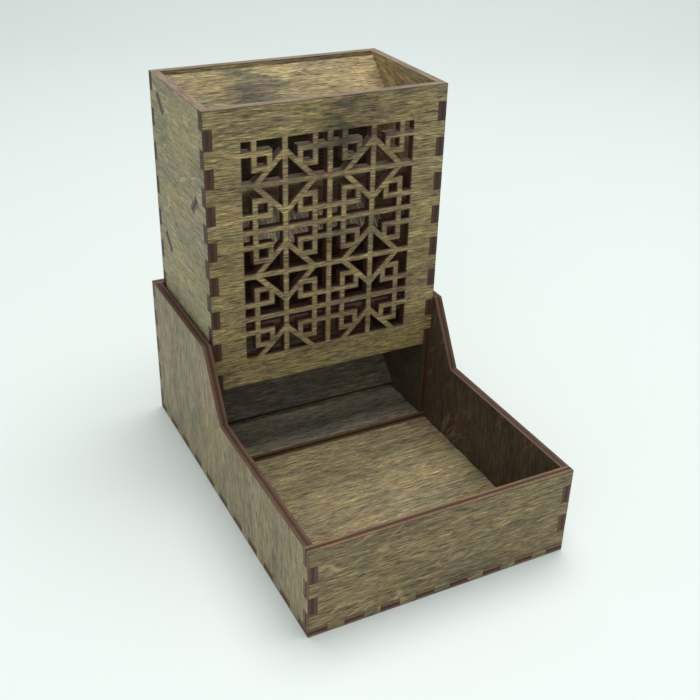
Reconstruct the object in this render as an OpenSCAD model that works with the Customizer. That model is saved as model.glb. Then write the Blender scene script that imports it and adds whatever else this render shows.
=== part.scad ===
// Dice tower in a rolling tray, cut from one thickness of plywood and glued at finger joints.
// Front faces -Y, +Z is up, the underside of the tray rests at z = 0.
// The tower is a separate box that stands loose between the tray's raised rear walls.

/* [Sheet] */
// Thickness of the plywood
sheet_t = 3.2; // [2.9:0.1:3.4]
// Slack between neighbouring fingers of a joint
joint_gap = 0.06; // [0.02:0.01:0.12]

/* [Tray] */
// Outside width
tray_w = 100; // [98:0.5:106]
// Outside depth, front to back
tray_d = 150.8; // [149:0.2:156]
// Height of the low front wall
tray_front_h = 35.1; // [31:0.1:38]
// Height of the back wall and of the raised part of the side walls
tray_rear_h = 60.2; // [58:0.1:64]
// Depth over which the side walls stay low
tray_low_run = 75.4; // [72:0.2:78]
// Depth over which the side walls climb to their raised height
tray_climb_run = 14.8; // [10:0.2:14.8]
// Finger lengths along the depth of the tray floor
tray_depth_fingers = 21; // [19, 21, 23]
// Finger lengths along the width of the tray floor
tray_width_fingers = 15; // [13, 15, 17]
// Finger lengths up each front corner
tray_front_fingers = 5; // [5, 7]
// Finger lengths up each rear corner
tray_rear_fingers = 9; // [7, 9, 11]

/* [Tower] */
// Height of the rim above the table
tower_top = 145.3; // [144:0.1:150]
// Outside depth, front to back
tower_d = 56.2; // [54:0.2:56.2]
// Slack between the tower and each side wall of the tray
side_slack = 0.45; // [0.2:0.05:0.5]
// Share of that slack by which the tower stands to the right of the middle
slack_share = 0.8; // [0:0.1:0.8]
// Slack between the tower and the back wall of the tray
rear_slack = 0.2; // [0.1:0.05:0.4]
// Finger lengths up each corner of the tower
tower_fingers = 21; // [21, 23]
// How many of them, from the rim down, the front panel covers
front_panel_fingers = 16; // [14, 16]
// Finger lengths along the depth of the tower floor
tower_depth_fingers = 9; // [7, 9, 11]
// Finger lengths along the width of the tower floor
tower_width_fingers = 13; // [11, 13, 15]

/* [Fretwork] */
// Width of the fret bars
bar_w = 2.3; // [1.8:0.1:2.6]
// Solid border at each side of the fretwork
fret_side_border = 13.3; // [12:0.1:15]
// Solid border above the fretwork
fret_top_border = 12; // [11:0.1:14]
// Solid border below the fretwork
fret_foot_border = 11.5; // [10:0.1:13]

/* [Baffles] */
// Slope of the baffles and of the ramp, in degrees
slope = 45; // [42:0.5:48]
// Length of a baffle down its slope
baffle_len = 20; // [18:0.5:21]
// Depth of the top baffle's middle below the rim
baffle_drop = 9.2; // [9:0.1:12]
// Height from one baffle to the next
baffle_pitch = 26.7; // [26:0.1:27]
// Length of the tab that holds each baffle and the ramp in a side panel
tab_len = 8.2; // [6:0.1:10]
// Distance of the ramp's toe from the tower's front face
ramp_toe = 23; // [22:0.5:28]

/* [Hidden] */
tower_w = tray_w - 2 * sheet_t - 2 * side_slack;
tower_x = side_slack * slack_share;
tower_back_y = tray_d / 2 - sheet_t - rear_slack;
tower_front_y = tower_back_y - tower_d;
tower_foot = sheet_t;
floor_top = 2 * sheet_t;
inner_w = tower_w - 2 * sheet_t;

corner_pitch = (tower_top - floor_top) / tower_fingers;
front_panel_z = tower_top - front_panel_fingers * corner_pitch;

// The fretwork is two cells wide and two and a half cells high; a cell is six grid steps square
cell_steps = 6;
fret_columns = 2;
fret_rows = 2.5;
fret_half_w = tower_w / 2 - fret_side_border + bar_w / 2;
fret_top = tower_top - fret_top_border + bar_w / 2;
fret_foot = front_panel_z + fret_foot_border - bar_w / 2;
step_x = 2 * fret_half_w / (fret_columns * cell_steps);
step_z = (fret_top - fret_foot) / (fret_rows * cell_steps);

// Reach of a baffle either side of its middle, measured level
seat_gap = 0.05;
baffle_reach = (baffle_len * cos(slope) + sheet_t * sin(slope)) / 2;
front_seat_y = tower_front_y + sheet_t + seat_gap + baffle_reach;
rear_seat_y = tower_back_y - sheet_t - seat_gap - baffle_reach;

// The ramp's lower edge rests on the tower floor and its upper edge against the back panel
ramp_run = tower_d - ramp_toe - sheet_t - seat_gap;
ramp_len = (ramp_run - sheet_t * sin(slope)) / cos(slope);
ramp_y = tower_front_y + ramp_toe + ramp_run / 2;
ramp_z = floor_top + (ramp_len * sin(slope) + sheet_t * cos(slope)) / 2;

// Middle of each sloping board as [y, z, tilt], from the rim down, the ramp last
boards = [
    [rear_seat_y, tower_top - baffle_drop, slope],
    [front_seat_y, tower_top - baffle_drop - baffle_pitch, -slope],
    [rear_seat_y, tower_top - baffle_drop - 2 * baffle_pitch, slope],
    [front_seat_y, tower_top - baffle_drop - 3 * baffle_pitch, -slope],
    [ramp_y, ramp_z, slope]
];

tray_stain = [0.40, 0.33, 0.22];
tower_stain = [0.45, 0.38, 0.25];
inner_stain = [0.36, 0.29, 0.19];

// Every other finger length along an edge, opened for the teeth of the mating sheet.
// The edge runs along +X from the origin; first and last count finger lengths from zero.
module openings(pitch, first, last) {
    for (i = [first : 2 : last])
        translate([(i + 0.5) * pitch, 0])
            square([pitch + joint_gap, 2 * sheet_t], center = true);
}

// Stands a flat outline up across the object, its outer face towards the front at y
module across(y) {
    translate([0, y + sheet_t, 0])
        rotate([90, 0, 0])
            linear_extrude(sheet_t)
                children();
}

// Stands a flat outline up along the object, its left face at x
module along(x) {
    translate([x, 0, 0])
        rotate([90, 0, 90])
            linear_extrude(sheet_t)
                children();
}

// Front or back wall of the tray
module tray_wall(height, fingers) {
    difference() {
        translate([-tray_w / 2, 0])
            square([tray_w, height]);
        translate([-tray_w / 2, 0])
            openings(tray_w / tray_width_fingers, 0, tray_width_fingers - 1);
        for (side = [-1, 1])
            translate([side * tray_w / 2, sheet_t])
                rotate(90)
                    openings((height - sheet_t) / fingers, 1, fingers - 2);
    }
}

// Side wall of the tray: low in front, raised around the tower
module tray_side() {
    low_end = -tray_d / 2 + tray_low_run;
    difference() {
        polygon([
            [-tray_d / 2, 0],
            [tray_d / 2, 0],
            [tray_d / 2, tray_rear_h],
            [low_end + tray_climb_run, tray_rear_h],
            [low_end, tray_front_h],
            [-tray_d / 2, tray_front_h]
        ]);
        translate([-tray_d / 2, 0])
            openings(tray_d / tray_depth_fingers, 0, tray_depth_fingers - 1);
        translate([-tray_d / 2, sheet_t])
            rotate(90)
                openings((tray_front_h - sheet_t) / tray_front_fingers, 0, tray_front_fingers - 1);
        translate([tray_d / 2, sheet_t])
            rotate(90)
                openings((tray_rear_h - sheet_t) / tray_rear_fingers, 0, tray_rear_fingers - 1);
    }
}

// Side panel of the tower, pierced where the tabs of the sloping boards come through
module tower_side() {
    difference() {
        translate([tower_front_y, tower_foot])
            square([tower_d, tower_top - tower_foot]);
        translate([tower_front_y, tower_foot])
            openings(tower_d / tower_depth_fingers, 0, tower_depth_fingers - 1);
        translate([tower_front_y, tower_top])
            rotate(-90)
                openings(corner_pitch, 0, front_panel_fingers - 2);
        translate([tower_back_y, tower_top])
            rotate(-90)
                openings(corner_pitch, 0, tower_fingers - 1);
        for (board = boards)
            translate([board[0], board[1]])
                rotate(board[2])
                    square([tab_len + joint_gap, sheet_t + joint_gap], center = true);
    }
}

// Straight-sided hole of the fretwork, given in the upper right quarter of a cell and
// turned into the quarter picked by the signs
module fret_hole(points, side, level) {
    polygon([for (p = points) [p[0] * side, p[1] * level * step_z / step_x]]);
}

// The five holes of one quarter of a cell: corner square, two bent bays, inner square
// and a corner of the centre diamond
module fret_quarter(side, level) {
    half = bar_w / 2;
    near = step_x - half;
    mid = 2 * step_x - half;
    far = 2 * step_x + half;
    rim = 3 * step_x - half;
    inside = 2 * step_x - bar_w / sqrt(2);
    outside = 2 * step_x + bar_w / sqrt(2);
    bay = [
        [half, rim], [mid, rim], [mid, far],
        [near, far], [near, outside - near], [half, outside - half]
    ];
    fret_hole([[far, far], [rim, far], [rim, rim], [far, rim]], side, level);
    fret_hole(bay, side, level);
    fret_hole([for (p = bay) [p[1], p[0]]], side, level);
    fret_hole([[step_x + half, step_x + half], [mid, step_x + half], [mid, mid],
        [step_x + half, mid]], side, level);
    fret_hole([[half, half], [inside - half, half], [half, inside - half]], side, level);
}

// Whole cells in rows from the top, then the upper half of one more row
module fretwork() {
    for (column = [0 : fret_columns - 1], row = [0 : ceil(fret_rows) - 1])
        translate([
            (2 * column + 1 - fret_columns) * cell_steps / 2 * step_x,
            fret_top - (row + 0.5) * cell_steps * step_z
        ])
            for (side = [-1, 1], level = (row + 1 > fret_rows) ? [1] : [-1, 1])
                fret_quarter(side, level);
}

// Sloping board number i, with a tab at each end reaching the outside of the tower
module board(i, length) {
    place = boards[i];
    translate([tower_x, place[0], place[1]])
        rotate([place[2], 0, 0])
            translate([0, 0, -sheet_t / 2])
                linear_extrude(sheet_t)
                    union() {
                        square([inner_w, length], center = true);
                        square([tower_w, tab_len], center = true);
                    }
}

module tray_floor() {
    color(tray_stain)
        linear_extrude(sheet_t)
            difference() {
                square([tray_w, tray_d], center = true);
                for (side = [-1, 1]) {
                    translate([side * tray_w / 2, -tray_d / 2])
                        rotate(90)
                            openings(tray_d / tray_depth_fingers, 1, tray_depth_fingers - 2);
                    translate([-tray_w / 2, side * tray_d / 2])
                        openings(tray_w / tray_width_fingers, 1, tray_width_fingers - 2);
                }
            }
}

module tray_front() {
    color(tray_stain)
        across(-tray_d / 2)
            tray_wall(tray_front_h, tray_front_fingers);
}

module tray_back() {
    color(tray_stain)
        across(tray_d / 2 - sheet_t)
            tray_wall(tray_rear_h, tray_rear_fingers);
}

module tray_left_side() {
    color(tray_stain)
        along(-tray_w / 2)
            tray_side();
}

module tray_right_side() {
    color(tray_stain)
        along(tray_w / 2 - sheet_t)
            tray_side();
}

module tower_floor() {
    color(inner_stain)
        translate([tower_x, 0, tower_foot])
            linear_extrude(sheet_t)
                difference() {
                    translate([-tower_w / 2, tower_front_y])
                        square([tower_w, tower_d]);
                    for (side = [-1, 1])
                        translate([side * tower_w / 2, tower_front_y])
                            rotate(90)
                                openings(tower_d / tower_depth_fingers, 1, tower_depth_fingers - 2);
                    translate([-tower_w / 2, tower_back_y])
                        openings(tower_w / tower_width_fingers, 1, tower_width_fingers - 2);
                }
}

module tower_front() {
    color(tower_stain)
        translate([tower_x, 0, 0])
            across(tower_front_y)
                difference() {
                    translate([-tower_w / 2, front_panel_z])
                        square([tower_w, tower_top - front_panel_z]);
                    for (side = [-1, 1])
                        translate([side * tower_w / 2, tower_top])
                            rotate(-90)
                                openings(corner_pitch, 1, front_panel_fingers - 1);
                    fretwork();
                }
}

module tower_back() {
    color(tower_stain)
        translate([tower_x, 0, 0])
            across(tower_back_y - sheet_t)
                difference() {
                    translate([-tower_w / 2, tower_foot])
                        square([tower_w, tower_top - tower_foot]);
                    translate([-tower_w / 2, tower_foot])
                        openings(tower_w / tower_width_fingers, 0, tower_width_fingers - 1);
                    for (side = [-1, 1])
                        translate([side * tower_w / 2, tower_top])
                            rotate(-90)
                                openings(corner_pitch, 1, tower_fingers - 2);
                }
}

module tower_left_side() {
    color(tower_stain)
        along(tower_x - tower_w / 2)
            tower_side();
}

module tower_right_side() {
    color(tower_stain)
        along(tower_x + tower_w / 2 - sheet_t)
            tower_side();
}

module baffle_rear_upper() {
    color(inner_stain)
        board(0, baffle_len);
}

module baffle_front_upper() {
    color(inner_stain)
        board(1, baffle_len);
}

module baffle_rear_lower() {
    color(inner_stain)
        board(2, baffle_len);
}

module baffle_front_lower() {
    color(inner_stain)
        board(3, baffle_len);
}

module exit_ramp() {
    color(inner_stain)
        board(4, ramp_len);
}

tray_floor();
tray_front();
tray_back();
tray_left_side();
tray_right_side();
tower_floor();
tower_front();
tower_back();
tower_left_side();
tower_right_side();
baffle_rear_upper();
baffle_front_upper();
baffle_rear_lower();
baffle_front_lower();
exit_ramp();
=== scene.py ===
import math

import bmesh
import bpy
from mathutils import Matrix, Vector


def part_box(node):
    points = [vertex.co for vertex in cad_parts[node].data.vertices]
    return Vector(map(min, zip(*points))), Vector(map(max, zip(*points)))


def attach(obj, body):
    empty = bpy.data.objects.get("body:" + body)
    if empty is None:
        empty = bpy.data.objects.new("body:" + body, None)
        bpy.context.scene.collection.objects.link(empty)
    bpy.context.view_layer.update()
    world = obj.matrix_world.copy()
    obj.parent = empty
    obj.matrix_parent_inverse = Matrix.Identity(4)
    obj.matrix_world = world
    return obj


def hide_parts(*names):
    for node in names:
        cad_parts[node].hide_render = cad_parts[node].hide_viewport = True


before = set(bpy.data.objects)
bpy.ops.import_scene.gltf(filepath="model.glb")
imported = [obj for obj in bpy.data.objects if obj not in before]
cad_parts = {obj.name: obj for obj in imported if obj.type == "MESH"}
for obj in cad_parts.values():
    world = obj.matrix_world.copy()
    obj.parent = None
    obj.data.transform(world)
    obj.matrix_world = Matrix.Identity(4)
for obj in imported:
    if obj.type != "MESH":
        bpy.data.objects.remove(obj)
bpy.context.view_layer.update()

# ---------------------------------------------------------------------------------------------
# Tray floor. One sheet of three-ply birch, laser cut with teeth all round, wiped with a thin
# brown stain before it is glued up. Its grain runs across the tray.
# ---------------------------------------------------------------------------------------------
ARRIS = 0.00012      # the worn corner of every cut
SMOKE_BAND = 0.00035 # how far the laser's smoke creeps over the face from a cut
FLAT_COSINE = 0.99
CREASE = math.radians(25)
WELD = 2e-6
GRAIN_DEPTH = 0.00022
CHAR_DEPTH = 0.00006
SMOKE = (0.045, 0.026, 0.016)
INNER_SEED = 5.0     # so that a sheet's two faces differ


def sheet_space(tree, node, normal, grain):
    """A vector whose X runs along the grain, Y across it and Z through the sheet from its middle."""
    low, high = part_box(node)
    normal, grain = Vector(normal).normalized(), Vector(grain).normalized()
    turn = Matrix((grain, normal.cross(grain), normal))
    coords = tree.nodes.new("ShaderNodeTexCoord")
    place = tree.nodes.new("ShaderNodeMapping")
    place.inputs["Rotation"].default_value = turn.to_euler()
    place.inputs["Location"].default_value = -(turn @ ((low + high) / 2))
    tree.links.new(coords.outputs["Object"], place.inputs["Vector"])
    return place.outputs["Vector"]


def noise(tree, space, per_metre, seed, detail=4.0, roughness=0.55, distortion=0.0):
    """Noise stretched by its counts per metre along, across and through the sheet."""
    stretch = tree.nodes.new("ShaderNodeMapping")
    stretch.inputs["Scale"].default_value = per_metre
    stretch.inputs["Location"].default_value = (seed * 3.7, seed * 1.9, seed * 5.3)
    tree.links.new(space, stretch.inputs["Vector"])
    field = tree.nodes.new("ShaderNodeTexNoise")
    field.inputs["Scale"].default_value = 1.0
    field.inputs["Detail"].default_value = detail
    field.inputs["Roughness"].default_value = roughness
    field.inputs["Distortion"].default_value = distortion
    tree.links.new(stretch.outputs["Vector"], field.inputs["Vector"])
    return field.outputs["Fac"]


def ramp(tree, value, *stops):
    """A colour ramp with (position, colour) stops in rising order."""
    node = tree.nodes.new("ShaderNodeValToRGB")
    elements = node.color_ramp.elements
    for element, (position, colour) in ((elements[0], stops[0]), (elements[1], stops[-1])):
        element.position = position
        element.color = (*colour, 1.0)
    for position, colour in stops[1:-1]:
        elements.new(position).color = (*colour, 1.0)
    tree.links.new(value, node.inputs["Fac"])
    return node.outputs["Color"]


def grey(level):
    return (level, level, level)


def blend(tree, mode, amount, first, second):
    """Two colours mixed; amount is a number or a socket."""
    node = tree.nodes.new("ShaderNodeMix")
    node.data_type = "RGBA"
    node.blend_type = mode
    for name, value in (("Factor", amount), ("A", first), ("B", second)):
        kind = "VALUE" if name == "Factor" else "RGBA"
        socket = next(s for s in node.inputs if s.name == name and s.type == kind)
        if isinstance(value, bpy.types.NodeSocket):
            tree.links.new(value, socket)
        else:
            socket.default_value = value if name == "Factor" else (*value, 1.0)
    return next(s for s in node.outputs if s.type == "RGBA")


def reckon(tree, operation, *values):
    """A Math node on numbers or sockets."""
    node = tree.nodes.new("ShaderNodeMath")
    node.operation = operation
    for socket, value in zip(node.inputs, values):
        if isinstance(value, bpy.types.NodeSocket):
            tree.links.new(value, socket)
        else:
            socket.default_value = value
    return node.outputs["Value"]


def rising_share(tree, low, high, *stops):
    """A ramp over the height between low and high."""
    coords = tree.nodes.new("ShaderNodeTexCoord")
    split = tree.nodes.new("ShaderNodeSeparateXYZ")
    tree.links.new(coords.outputs["Object"], split.inputs["Vector"])
    rise = reckon(tree, "DIVIDE", reckon(tree, "SUBTRACT", split.outputs["Z"], low), high - low)
    return ramp(tree, rise, *stops)


def finish_surface(tree, colour, roughness, height, depth, strength, shine):
    """Wires colour, roughness and a bump of that depth in metres to the surface shader."""
    shader = tree.nodes["Principled BSDF"]
    shader.inputs["Specular IOR Level"].default_value = shine
    bump = tree.nodes.new("ShaderNodeBump")
    bump.inputs["Strength"].default_value = strength
    bump.inputs["Distance"].default_value = depth
    tree.links.new(height, bump.inputs["Height"])
    tree.links.new(bump.outputs["Normal"], shader.inputs["Normal"])
    tree.links.new(colour, shader.inputs["Base Color"])
    tree.links.new(roughness, shader.inputs["Roughness"])


def new_material(name):
    material = bpy.data.materials.new(name)
    material.use_nodes = True
    return material, material.node_tree


def stained_veneer(node, normal, grain, seed, light, mid, dark, contrast=1.0, figure=None, knot=None,
                   painted_foot_shade=None):
    """The sanded, stained face of the sheet. Light, mid and dark are its streak colours, figure is
    (strength, degrees off the grain) of the pale rays, knot is (place, radius) of a dark mark, and
    the foot shade is (height, height, level) of painted shade, which darkens the colour downwards
    between those heights to that level."""
    material, tree = new_material(node + "_veneer")
    space = sheet_space(tree, node, normal, grain)
    streaks = noise(tree, space, (170, 2100, 300), seed, 6.0, 0.62, 0.55)
    fibres = noise(tree, space, (420, 5200, 900), seed + 1, 3.0, 0.6)
    dashes = noise(tree, space, (230, 2700, 300), seed + 7, 3.0, 0.55, 0.4)
    bands = noise(tree, space, (26, 420, 60), seed + 8, 3.0, 0.5, 0.4)
    clouds = noise(tree, space, (24, 70, 60), seed + 2, 4.0, 0.55, 0.6)
    patches = noise(tree, space, (55, 120, 60), seed + 3, 3.0, 0.5, 1.2)
    colour = ramp(tree, streaks, (0.37, dark), (0.47, mid), (0.53, mid), (0.62, light))
    colour = blend(tree, "MULTIPLY", contrast, colour,
                   ramp(tree, dashes, (0.34, grey(0.34)), (0.43, grey(0.92)), (0.58, grey(1.0)),
                        (0.68, grey(1.5))))
    colour = blend(tree, "MULTIPLY", contrast, colour,
                   ramp(tree, bands, (0.34, grey(0.78)), (0.50, grey(1.0)), (0.66, grey(1.16))))
    colour = blend(tree, "MULTIPLY", contrast, colour,
                   ramp(tree, fibres, (0.32, grey(0.60)), (0.50, grey(0.96)), (0.70, grey(1.22))))
    colour = blend(tree, "MULTIPLY", 1.0, colour,
                   ramp(tree, clouds, (0.30, grey(0.74)), (0.52, grey(1.0)), (0.72, (1.16, 1.13, 1.06))))
    colour = blend(tree, "MULTIPLY", 1.0, colour,
                   ramp(tree, patches, (0.30, (0.82, 0.86, 0.92)), (0.50, grey(1.0)),
                        (0.70, (1.10, 1.05, 0.94))))
    if figure:
        strength, degrees = figure
        slanted = Matrix.Rotation(math.radians(degrees), 3, Vector(normal)) @ Vector(grain)
        ray_space = sheet_space(tree, node, normal, slanted)
        ripple = noise(tree, ray_space, (15, 58, 20), seed + 4, 4.0, 0.5, 1.1)
        line = ramp(tree, ripple, (0.484, grey(0.0)), (0.498, grey(1.0)), (0.502, grey(1.0)),
                    (0.516, grey(0.0)))
        broken = ramp(tree, noise(tree, ray_space, (60, 90, 40), seed + 5, 4.0, 0.65, 0.8),
                      (0.48, grey(0.0)), (0.62, grey(1.0)))
        amount = reckon(tree, "MULTIPLY", reckon(tree, "MULTIPLY", line, broken), strength)
        colour = blend(tree, "MIX", amount, colour, tuple(min(1.0, c * 1.35) for c in light))
    if knot:
        place, radius = knot
        far = tree.nodes.new("ShaderNodeVectorMath")
        far.operation = "DISTANCE"
        coords = tree.nodes.new("ShaderNodeTexCoord")
        tree.links.new(coords.outputs["Object"], far.inputs[0])
        far.inputs[1].default_value = place
        edge = reckon(tree, "ADD", reckon(tree, "DIVIDE", far.outputs["Value"], radius),
                      reckon(tree, "MULTIPLY", reckon(tree, "SUBTRACT", patches, 0.5), 1.8))
        mark = ramp(tree, edge, (0.20, grey(0.95)), (1.1, grey(0.0)))
        colour = blend(tree, "MIX", mark, colour,
                       blend(tree, "MULTIPLY", 1.0, colour, (0.27, 0.30, 0.33)))
    # Painted shade: the colour darkens towards the bottom of the face.
    if painted_foot_shade:
        low, high, level = painted_foot_shade
        colour = blend(tree, "MULTIPLY", 1.0, colour,
                       rising_share(tree, low, high, (0.0, grey(level)), (1.0, grey(1.0))))
    smoke = tree.nodes.new("ShaderNodeAttribute")
    smoke.attribute_name = "smoke"
    creep = reckon(tree, "MULTIPLY", smoke.outputs["Fac"],
                   ramp(tree, fibres, (0.35, grey(0.95)), (0.65, grey(0.45))))
    colour = blend(tree, "MIX", creep, colour, SMOKE)
    height = reckon(tree, "ADD", reckon(tree, "MULTIPLY", streaks, 0.6),
                    reckon(tree, "MULTIPLY", fibres, 0.5))
    rough = ramp(tree, streaks, (0.35, grey(0.74)), (0.65, grey(0.52)))
    finish_surface(tree, colour, rough, height, GRAIN_DEPTH, 0.55, 0.42)
    return material


CHAR = (0.040, 0.018, 0.012)


def burnt_edge(node, normal, grain, seed, outer, core, painted_top_sheen=None):
    """The laser-cut edge: browned outer plies of those two colours round a charred middle. The last
    argument is (colour, height, height) of a painted highlight on upward cuts, which grows between those
    heights."""
    material, tree = new_material(node + "_edge")
    space = sheet_space(tree, node, normal, grain)
    split = tree.nodes.new("ShaderNodeSeparateXYZ")
    tree.links.new(space, split.inputs["Vector"])
    char = noise(tree, space, (110, 110, 700), seed + 6, 2.0, 0.5)
    fuzz = noise(tree, space, (1500, 1500, 900), seed + 9, 3.0, 0.6)
    wander = reckon(tree, "MULTIPLY", reckon(tree, "SUBTRACT", fuzz, 0.5), 0.26)
    through = reckon(tree, "ADD", reckon(tree, "DIVIDE", split.outputs["Z"], SHEET), 0.5)
    plies = ramp(tree, reckon(tree, "ADD", through, wander),
                 (0.00, core), (0.08, outer), (0.20, outer), (0.31, core), (0.42, CHAR), (0.58, CHAR),
                 (0.69, core), (0.80, outer), (0.92, outer), (1.00, core))
    colour = blend(tree, "MULTIPLY", 1.0, plies,
                   ramp(tree, char, (0.30, grey(0.78)), (0.50, grey(1.0)), (0.72, (1.24, 1.18, 1.14))))
    # Painted highlight: upward cuts high on the sheet are lightened as if they catch the light.
    if painted_top_sheen:
        pale, low, high = painted_top_sheen
        facing = tree.nodes.new("ShaderNodeNewGeometry")
        lean = tree.nodes.new("ShaderNodeSeparateXYZ")
        tree.links.new(facing.outputs["True Normal"], lean.inputs["Vector"])
        sheen_mask = reckon(tree, "MULTIPLY", ramp(tree, lean.outputs["Z"], (0.60, grey(0.0)), (0.95, grey(1.0))),
                      ramp(tree, char, (0.30, grey(0.45)), (0.62, grey(0.95))))
        sheen_mask = reckon(tree, "MULTIPLY", sheen_mask,
                      rising_share(tree, low, high, (0.0, grey(0.0)), (1.0, grey(1.0))))
        colour = blend(tree, "MIX", sheen_mask, colour, pale)
    rough = ramp(tree, fuzz, (0.35, grey(0.70)), (0.65, grey(0.50)))
    finish_surface(tree, colour, rough, fuzz, CHAR_DEPTH, 0.4, 0.34)
    return material


def refilled(work, faces, normal):
    """Replaces flat faces by a clean fill of their outline and holes, and returns the new faces."""
    inside = set(faces)
    outline = [e for e in work.edges if sum(f in inside for f in e.link_faces) == 1]
    inner = [e for f in faces for e in f.edges if all(g in inside for g in e.link_faces)]
    bmesh.ops.delete(work, geom=faces, context="FACES_ONLY")
    bmesh.ops.delete(work, geom=[e for e in set(inner) if e.is_valid], context="EDGES")
    made = bmesh.ops.triangle_fill(work, use_beauty=True, use_dissolve=False, edges=outline,
                                   normal=normal)["geom"]
    fill = [g for g in made if isinstance(g, bmesh.types.BMFace)]
    work.normal_update()
    bmesh.ops.reverse_faces(work, faces=[f for f in fill if f.normal.dot(normal) < 0])
    return fill


def finished_sheet(node, body, slot, normal, grain, seed, tones, plies, inside=None,
                   painted_foot_shade=None, **marks):
    """The CAD sheet with its arrises eased, its faces veneered and its cut edges burnt. The normal
    points out of the box that the sheet is part of; inside gives other tones to its inner face, and
    the foot shade darkens that face downwards as painted shade."""
    facing = Vector(normal).normalized()
    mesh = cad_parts[node].data.copy()
    mesh.name = node + "_board"
    mesh.materials.clear()
    work = bmesh.new()
    work.from_mesh(mesh)
    bmesh.ops.remove_doubles(work, verts=work.verts, dist=WELD)
    bmesh.ops.dissolve_limit(work, angle_limit=math.radians(1), verts=work.verts, edges=work.edges)
    corners = [e for e in work.edges if len(e.link_faces) == 2 and e.calc_face_angle(0.0) > CREASE]
    bmesh.ops.bevel(work, geom=corners, offset=ARRIS, offset_type="OFFSET", affect="EDGES", segments=2,
                    profile=0.5, material=-1, clamp_overlap=True)
    smoke = work.verts.layers.float.new("smoke")
    for vertex in work.verts:
        vertex[smoke] = 1.0
    work.normal_update()
    for side in (facing, -facing):
        flats = refilled(work, [f for f in work.faces if f.normal.dot(side) > FLAT_COSINE], side)
        bmesh.ops.inset_region(work, faces=flats, thickness=SMOKE_BAND, depth=0.0,
                               use_boundary=True, use_even_offset=True)
        for face in refilled(work, flats, side):
            for vertex in face.verts:
                vertex[smoke] = 0.0
    bmesh.ops.triangulate(work, faces=work.faces)
    work.normal_update()
    for face in work.faces:
        turned = face.normal.dot(facing)
        face.material_index = 0 if turned > FLAT_COSINE else 2 if turned < -FLAT_COSINE else 1
        face.smooth = False
    work.to_mesh(mesh)
    work.free()
    mesh.materials.append(stained_veneer(node, normal, grain, seed, *tones, **marks))
    mesh.materials.append(burnt_edge(node, normal, grain, seed, *plies))
    mesh.materials.append(stained_veneer(node, normal, grain, seed + INNER_SEED, *(inside or tones),
                                         painted_foot_shade=painted_foot_shade, **marks))
    board = bpy.data.objects.new(node + "_board", mesh)
    bpy.context.scene.collection.objects.link(board)
    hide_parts(node)
    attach(board, body)
    return board


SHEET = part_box("tray_floor")[1].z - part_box("tray_floor")[0].z
AMBER_PLIES = ((0.185, 0.108, 0.048), (0.098, 0.048, 0.028))
GOLDEN = ((0.50, 0.405, 0.225), (0.315, 0.250, 0.135), (0.130, 0.098, 0.055))
finished_sheet("tray_floor", "tray", "tray_floor", (0, 0, 1), (1, 0, 0), 1.0, GOLDEN, AMBER_PLIES)

# ---------------------------------------------------------------------------------------------
# Tray walls. Four more cuts of the same stained ply, glued to the floor and to each other at
# finger joints. The grain lies along the front and back walls and stands upright in the sides.
# ---------------------------------------------------------------------------------------------
OLIVE = ((0.355, 0.280, 0.142), (0.215, 0.163, 0.078), (0.082, 0.060, 0.031))
# Darker tones for inner faces: partly a darker stain, partly painted shade.
DARK_STAIN_AND_PAINTED_SHADE = ((0.135, 0.092, 0.042), (0.070, 0.046, 0.024), (0.034, 0.022, 0.013))
RUSSET_PLIES = ((0.110, 0.052, 0.028), (0.074, 0.034, 0.021))
UMBER = ((0.41, 0.335, 0.195), (0.275, 0.220, 0.122), (0.125, 0.095, 0.055))
finished_sheet("tray_front", "tray", "tray_front", (0, -1, 0), (1, 0, 0), 11.0, OLIVE, AMBER_PLIES,
               figure=(0.6, 20))
finished_sheet("tray_back", "tray", "tray_back", (0, 1, 0), (1, 0, 0), 21.0, OLIVE, AMBER_PLIES,
               figure=(0.2, -25))
# Both sides take the darker inner tones: partly a darker stain, partly painted shade on the inner faces.
finished_sheet("tray_left_side", "tray", "tray_sides", (-1, 0, 0), (0, 0.10, 1), 31.0, UMBER, RUSSET_PLIES,
               inside=DARK_STAIN_AND_PAINTED_SHADE, contrast=0.6, figure=(0.2, 25))
finished_sheet("tray_right_side", "tray", "tray_sides", (1, 0, 0), (0, 0.08, 1), 41.0, UMBER, RUSSET_PLIES,
               inside=DARK_STAIN_AND_PAINTED_SHADE, contrast=0.6, figure=(0.9, 35))

# ---------------------------------------------------------------------------------------------
# Tower walls and floor. A taller box of the same ply that stands loose in the tray. Its front is
# cut through as fretwork, and its sides are pierced for the tabs of the sloping boards.
# ---------------------------------------------------------------------------------------------
# The tower floor's greyer tones: partly its own tone, partly darkened and cooled as painted shade inside
# the tower.
SLATE_AND_PAINTED_SHADE = ((0.380, 0.325, 0.225), (0.236, 0.200, 0.138), (0.104, 0.087, 0.060))
HONEY = ((0.47, 0.365, 0.170), (0.270, 0.200, 0.087), (0.092, 0.065, 0.030))
SAGE = ((0.44, 0.375, 0.215), (0.305, 0.255, 0.141), (0.180, 0.146, 0.080))
AMBER = ((0.52, 0.41, 0.20), (0.35, 0.265, 0.125), (0.15, 0.105, 0.055))
# Painted highlight on the tower's upward cuts: its colour and the heights over which it grows.
TOP_CUT_PAINTED_SHEEN = ((0.262, 0.185, 0.125), 0.095, 0.145)
DARK_PLIES = ((0.074, 0.034, 0.018), (0.056, 0.026, 0.014), TOP_CUT_PAINTED_SHEEN)
# Painted shade: the inner faces of the tower's sides darken towards the foot.
INNER_SIDE_PAINTED_SHADE = (0.036, 0.105, 0.18)
front_low, front_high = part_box("tower_front")
knot_place = (0.006, front_low.y, front_high.z - 0.013)
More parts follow.
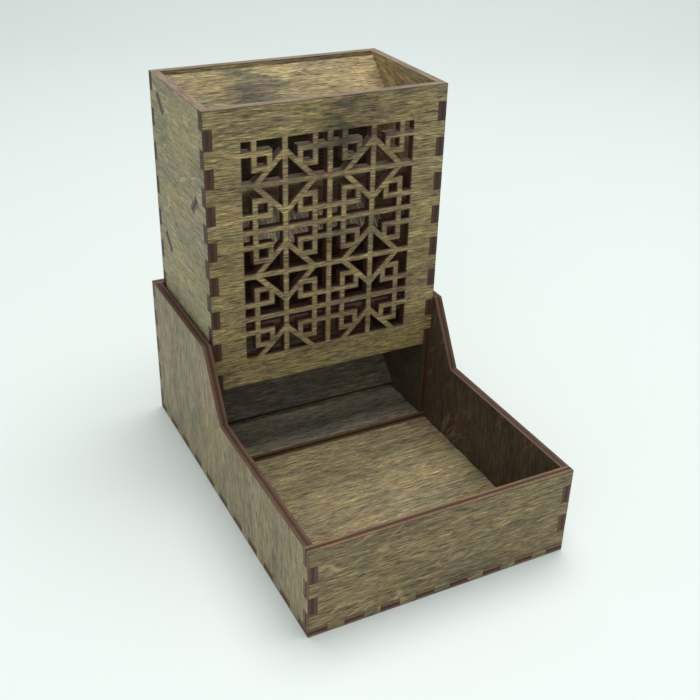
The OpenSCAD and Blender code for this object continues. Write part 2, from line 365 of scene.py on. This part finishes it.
# Its inner face takes the darker inner tones as painted shade inside the tower, seen through the fretwork.
finished_sheet("tower_front", "tower", "tower_front", (0, -1, 0), (1, 0, 0), 51.0, HONEY, DARK_PLIES,
               inside=DARK_STAIN_AND_PAINTED_SHADE, knot=(knot_place, 0.017))
# Its inner face darkens below the rim as painted shade inside the tower, seen through the fretwork.
finished_sheet("tower_back", "tower", "tower_back", (0, 1, 0), (1, 0, 0), 61.0, HONEY, DARK_PLIES,
               inside=AMBER, painted_foot_shade=(0.122, 0.136, 0.18), figure=(0.4, -30))
finished_sheet("tower_left_side", "tower", "tower_sides", (-1, 0, 0), (0, 1, 0.06), 71.0, SAGE, DARK_PLIES,
               inside=AMBER, painted_foot_shade=INNER_SIDE_PAINTED_SHADE, contrast=0.6, figure=(0.55, 14))
finished_sheet("tower_right_side", "tower", "tower_sides", (1, 0, 0), (0, 1, 0.12), 81.0, SAGE, DARK_PLIES,
               inside=AMBER, painted_foot_shade=INNER_SIDE_PAINTED_SHADE, contrast=0.6, figure=(0.3, 14))
finished_sheet("tower_floor", "tower", "tower_floor", (0, 0, 1), (1, 0, 0), 91.0, SLATE_AND_PAINTED_SHADE, AMBER_PLIES)

# ---------------------------------------------------------------------------------------------
# Sloping boards. Four short baffles and the ramp at the foot, each held by one tab at either end
# pushed through a slanting slot in the tower's side and glued there.
# ---------------------------------------------------------------------------------------------
# Dark tones for the exit ramp: painted shade in the tower's outlet.
RAMP_PAINTED_SHADE = ((0.185, 0.150, 0.085), (0.100, 0.082, 0.047), (0.040, 0.031, 0.019))
STREAKED = ((0.62, 0.56, 0.38), (0.270, 0.225, 0.130), (0.060, 0.047, 0.030))
TAB_PLIES = ((0.150, 0.112, 0.072), (0.085, 0.060, 0.040))
board_low, board_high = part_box("baffle_rear_upper")
slope = math.atan2(board_high.z - board_low.z, board_high.y - board_low.y)
rising = (0, -math.sin(slope), math.cos(slope))
falling = (0, math.sin(slope), math.cos(slope))
down_rear = (0, math.cos(slope), math.sin(slope))
finished_sheet("baffle_rear_upper", "tower", "boards", rising, (1, 0, 0), 101.0, AMBER, TAB_PLIES,
               figure=(0.6, -38), knot=((-0.014, board_low.y + 0.006, board_high.z - 0.008), 0.018))
finished_sheet("baffle_front_upper", "tower", "boards", falling, (1, 0, 0), 111.0, AMBER, TAB_PLIES)
finished_sheet("baffle_rear_lower", "tower", "boards", rising, down_rear, 121.0, STREAKED, TAB_PLIES,
               figure=(0.6, -38))
finished_sheet("baffle_front_lower", "tower", "boards", falling, (1, 0, 0), 131.0, AMBER, TAB_PLIES)
finished_sheet("exit_ramp", "tower", "boards", rising, (1, 0, 0), 141.0, RAMP_PAINTED_SHADE, DARK_PLIES)

# ---------------------------------------------------------------------------------------------
# Studio. A pale matt sweep, bright sky all round, one broad soft light high behind on the right
# and a weaker one low on the left.
# ---------------------------------------------------------------------------------------------
SWEEP_HALF = 1.6
SWEEP_RISE = 1.4
SWEEP_CURVE = 0.9
SWEEP_TURN = math.radians(-27.5)
sweep_mesh = bpy.data.meshes.new("sweep")
work = bmesh.new()
bmesh.ops.create_grid(work, x_segments=1, y_segments=1, size=SWEEP_HALF)
rear = [e for e in work.edges if all(v.co.y > 0 for v in e.verts)]
raised = bmesh.ops.extrude_edge_only(work, edges=rear)["geom"]
bmesh.ops.translate(work, verts=[g for g in raised if isinstance(g, bmesh.types.BMVert)],
                    vec=(0, 0, SWEEP_RISE))
work.edges.ensure_lookup_table()
crease = [e for e in work.edges if all(v.co.y > 0 and abs(v.co.z) < 1e-6 for v in e.verts)]
bmesh.ops.bevel(work, geom=crease, offset=SWEEP_CURVE, offset_type="OFFSET", affect="EDGES", segments=24,
                profile=0.5, material=-1, clamp_overlap=True)
bmesh.ops.recalc_face_normals(work, faces=work.faces)
for face in work.faces:
    face.smooth = True
bmesh.ops.rotate(work, verts=work.verts, cent=(0, 0, 0), matrix=Matrix.Rotation(SWEEP_TURN, 3, "Z"))
work.to_mesh(sweep_mesh)
work.free()
sweep = bpy.data.objects.new("sweep", sweep_mesh)
bpy.context.scene.collection.objects.link(sweep)
sweep_paper, tree = new_material("sweep_paper")
tree.nodes["Principled BSDF"].inputs["Base Color"].default_value = (0.72, 0.77, 0.75, 1)
tree.nodes["Principled BSDF"].inputs["Roughness"].default_value = 0.55
sweep_mesh.materials.append(sweep_paper)

world = bpy.data.worlds.new("studio")
world.use_nodes = True
world.node_tree.nodes["Background"].inputs["Color"].default_value = (0.88, 0.95, 0.95, 1)
world.node_tree.nodes["Background"].inputs["Strength"].default_value = 0.50
bpy.context.scene.world = world


def soft_light(name, place, aim, size, watts, colour):
    lamp = bpy.data.lights.new(name, "AREA")
    lamp.shape = "DISK"
    lamp.size = size
    lamp.energy = watts
    lamp.color = colour
    holder = bpy.data.objects.new(name, lamp)
    holder.location = place
    holder.rotation_euler = (Vector(aim) - Vector(place)).to_track_quat("-Z", "Y").to_euler()
    bpy.context.scene.collection.objects.link(holder)


soft_light("key", (0.20, 0.10, 1.25), (0, 0, 0.05), 1.15, 14.0, (1.0, 0.99, 0.97))
soft_light("fill", (-0.70, -0.80, 0.55), (0, 0, 0.05), 0.9, 3.4, (0.97, 1.0, 1.0))

# ---------------------------------------------------------------------------------------------
# Camera. Looks down on the open front from the left.
# ---------------------------------------------------------------------------------------------
AZIMUTH = math.radians(-27.54)
ELEVATION = math.radians(29.59)
ROLL = math.radians(1.505)
DISTANCE = 0.3666
AIM = Vector((-0.00255, -0.00836, 0.060))
lens = bpy.data.cameras.new("camera")
lens.lens = 52.41
lens.sensor_width = 36.0
lens.clip_start = 0.01
camera = bpy.data.objects.new("camera", lens)
back = Vector((math.sin(AZIMUTH) * math.cos(ELEVATION), -math.cos(AZIMUTH) * math.cos(ELEVATION),
               math.sin(ELEVATION)))
level = Vector((math.cos(AZIMUTH), math.sin(AZIMUTH), 0))
up = back.cross(level)
right = math.cos(ROLL) * level + math.sin(ROLL) * up
top = math.cos(ROLL) * up - math.sin(ROLL) * level
facing_aim = Matrix((right, top, back)).transposed().to_4x4()
camera.matrix_world = Matrix.Translation(AIM + DISTANCE * back) @ facing_aim
bpy.context.scene.collection.objects.link(camera)
bpy.context.scene.camera = camera
bpy.context.scene.view_settings.view_transform = "Standard"
